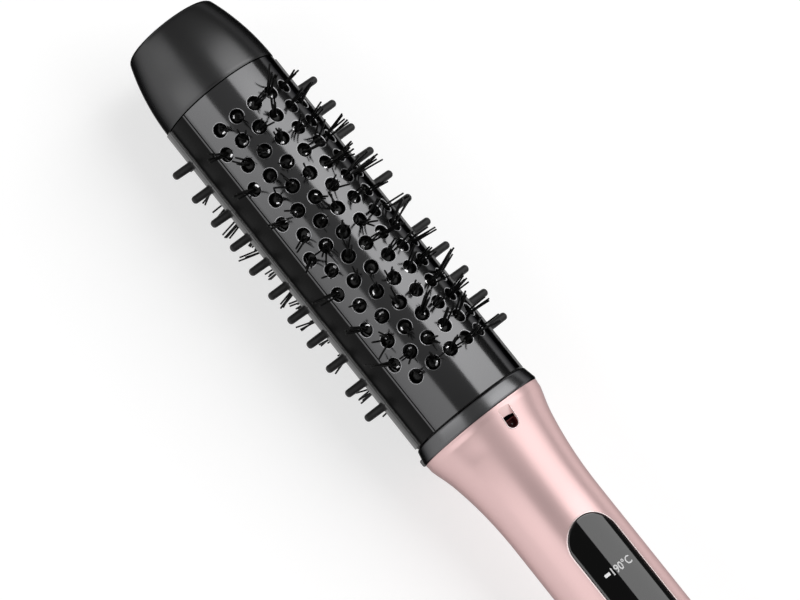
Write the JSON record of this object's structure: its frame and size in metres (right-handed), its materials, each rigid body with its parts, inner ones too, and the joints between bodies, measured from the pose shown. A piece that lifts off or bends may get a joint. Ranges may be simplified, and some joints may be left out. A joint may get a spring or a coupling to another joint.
{
  "type": "heated styling brush",
  "caption": "Round heated hair-styling brush: perforated barrel with bristles and side pins, tapered tip cap, painted handle with a control window, push buttons and a swivelling cord inlet.",
  "frame": {"origin": "centre of the bounding box in plan, at its lowest level, where the brush lies on its back bristles", "axes": "+X from the cord inlet to the tip, +Y to the left of the window when the tip points away, +Z out of the window"},
  "size_m": [0.3388, 0.0632, 0.0615],
  "materials": {
    "barrel_black": "glossy coating on aluminium",
    "bristle_black": "satin nylon",
    "strip_black": "satin",
    "cap_black": "fine matte",
    "collar_grey": "satin, metallic grey",
    "rose_gold": "metallic paint, semi-gloss",
    "window_black": "high gloss",
    "button_black": "satin",
    "swivel_black": "matte",
    "nozzle_red": "glossy",
    "spreader_aluminium": "as extruded",
    "heater_ceramic": "matt ceramic",
    "heat_resin": "matte heat-resistant resin",
    "chassis_black": "matte",
    "board_green": "solder mask",
    "clear_resin": "clear",
    "potted_block": "potting resin",
    "switch_grey": "matte",
    "steel": "plain"
  },
  "bodies": {
    "brush_body": {"front_plate": "barrel_black", "back_plate": "barrel_black", "front_bristles": "bristle_black", "back_bristles": "bristle_black", "left_pin_strip": "strip_black", "right_pin_strip": "strip_black", "front_heat_spreader": "spreader_aluminium", "back_heat_spreader": "spreader_aluminium", "ceramic_heater": "heater_ceramic", "thermal_fuse": "steel", "upper_spacer": "heat_resin", "lower_spacer": "heat_resin", "tip_cap": "cap_black", "collar": "collar_grey", "handle_shell": "rose_gold", "inner_chassis": "chassis_black", "circuit_board": "board_green", "display_window": "window_black", "window_carrier": "chassis_black", "high_light_guide": "clear_resin", "low_light_guide": "clear_resin", "ion_nozzle": "nozzle_red", "ion_needle": "steel", "ion_generator": "potted_block", "temp_up_switch": "switch_grey", "temp_down_switch": "switch_grey", "power_switch": "switch_grey", "upper_board_screw": "steel", "lower_board_screw": "steel", "left_socket_screw": "steel", "right_socket_screw": "steel", "left_retainer_screw": "steel", "right_retainer_screw": "steel", "end_cap": "collar_grey", "swivel_retainer": "chassis_black"},
    "temp_up": {"temp_up_button": "button_black"},
    "temp_down": {"temp_down_button": "button_black"},
    "power": {"power_button": "button_black"},
    "swivel": {"cord_swivel": "swivel_black"}
  },
  "joints": [
    {"name": "temp_up_press", "type": "slide", "parent": "brush_body", "child": "temp_up", "axis": [0, 0, -1], "range_m": [0, 0.0006], "stiffness_N_per_m": 1000},
    {"name": "temp_down_press", "type": "slide", "parent": "brush_body", "child": "temp_down", "axis": [0, 0, -1], "range_m": [0, 0.0006], "stiffness_N_per_m": 1000},
    {"name": "power_press", "type": "slide", "parent": "brush_body", "child": "power", "axis": [0, 0, -1], "range_m": [0, 0.0006], "stiffness_N_per_m": 1000},
    {"name": "cord_swivel_turn", "type": "hinge", "parent": "brush_body", "child": "swivel", "pos_m": [-0.1545, 0, 0.0305], "axis": [1, 0, 0], "continuous": true}
  ]
}
